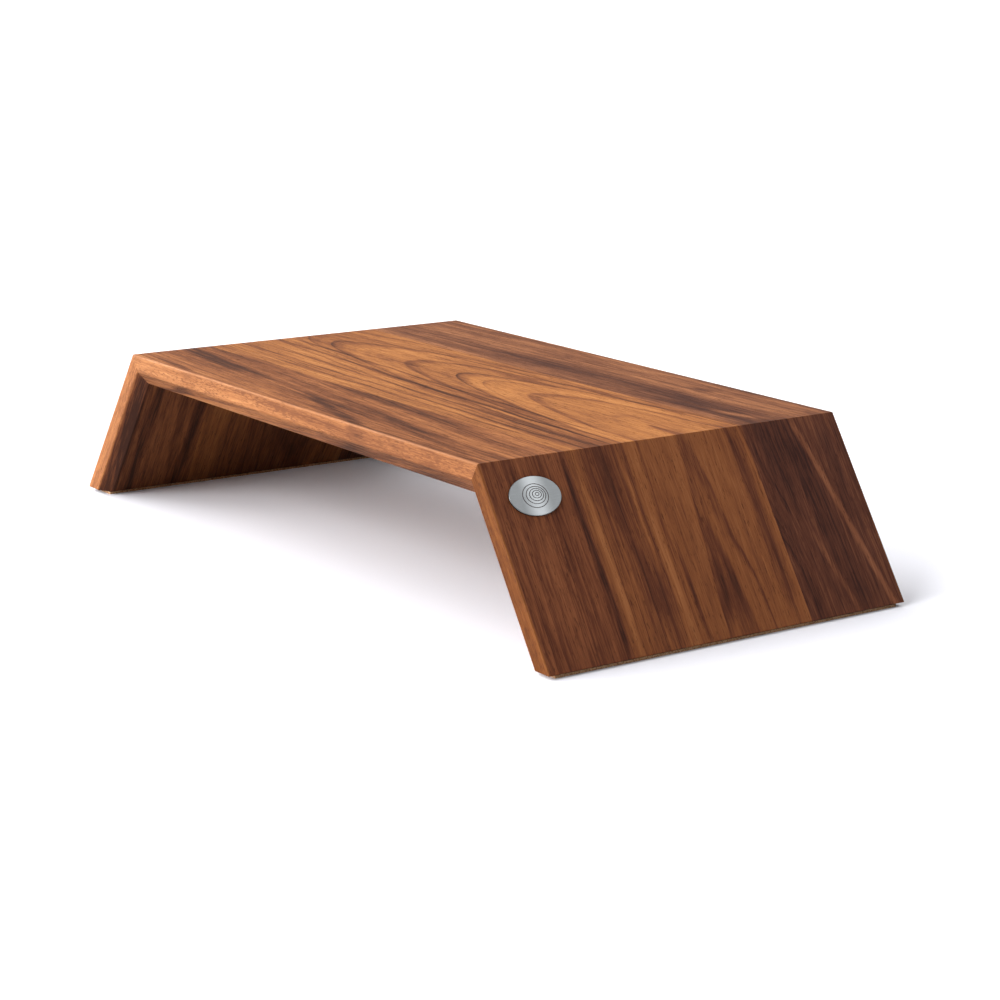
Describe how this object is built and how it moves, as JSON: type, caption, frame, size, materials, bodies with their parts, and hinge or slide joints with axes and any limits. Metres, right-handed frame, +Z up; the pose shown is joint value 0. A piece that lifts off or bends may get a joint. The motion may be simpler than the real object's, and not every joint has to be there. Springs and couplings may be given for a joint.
{
  "type": "tabletop riser",
  "caption": "Low walnut riser: a flat top folding over mitred corners into two outward-splayed legs on cork foot strips, with an oval steel badge.",
  "frame": {"origin": "on the surface the riser stands on, under the middle of the top", "axes": "+X to the right along the width, so the badge is on the +X leg; +Y from the front to the back; +Z up"},
  "size_m": [0.5, 0.25, 0.1],
  "materials": {
    "walnut": "satin",
    "beech": "matte",
    "cork": "matte",
    "adhesive": "matte",
    "steel": "satin"
  },
  "bodies": {
    "root": {"top_stave_front": "walnut", "top_stave_middle": "walnut", "top_stave_back": "walnut", "leg_left_stave_front": "walnut", "leg_left_stave_middle": "walnut", "leg_left_stave_back": "walnut", "leg_right_stave_front": "walnut", "leg_right_stave_middle": "walnut", "leg_right_stave_back": "walnut", "mitre_tenon_left_1": "beech", "mitre_tenon_left_2": "beech", "mitre_tenon_left_3": "beech", "mitre_tenon_left_4": "beech", "mitre_tenon_right_1": "beech", "mitre_tenon_right_2": "beech", "mitre_tenon_right_3": "beech", "mitre_tenon_right_4": "beech", "foot_cork_left": "cork", "foot_film_left": "adhesive", "foot_cork_right": "cork", "foot_film_right": "adhesive", "badge_plate": "steel", "badge_adhesive_pad": "adhesive"}
  },
  "joints": []
}
